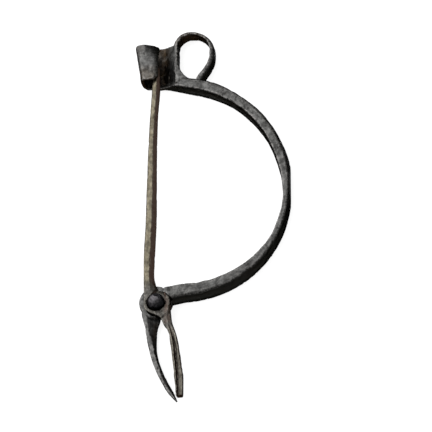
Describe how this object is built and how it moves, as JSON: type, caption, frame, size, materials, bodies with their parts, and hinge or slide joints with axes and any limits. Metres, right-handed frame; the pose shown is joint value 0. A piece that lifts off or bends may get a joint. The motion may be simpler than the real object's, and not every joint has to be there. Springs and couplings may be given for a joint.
{
  "type": "fibula brooch",
  "caption": "Ancient forged bronze brooch: D-shaped bow with rolled catch and chain loop, a swinging pin riveted on like pliers, and prongs below the hinge.",
  "frame": {"origin": "centre of the rivet's flattened tail, on the plane that the brooch lies on", "axes": "+Z along the rivet's axis towards its head, +Y along the pin towards the catch, +X towards the belly of the bow"},
  "size_m": [0.044, 0.1162, 0.0068],
  "materials": {
    "dark_patina": "nearly black bronze patina, hammered and pitted, satin",
    "olive_patina": "dark bronze patina rubbed to olive brown on the lit side, satin",
    "grey_patina": "dark grey bronze patina with scratches, satin"
  },
  "bodies": {
    "bow": {"bow": "dark_patina", "rivet": "grey_patina"},
    "pin": {"pin": "olive_patina"}
  },
  "joints": [
    {"name": "pin_hinge", "type": "hinge", "parent": "bow", "child": "pin", "pos_m": [0, 0, 0.0036], "axis": [0, 0, 1], "range_deg": [-28, 1]}
  ]
}
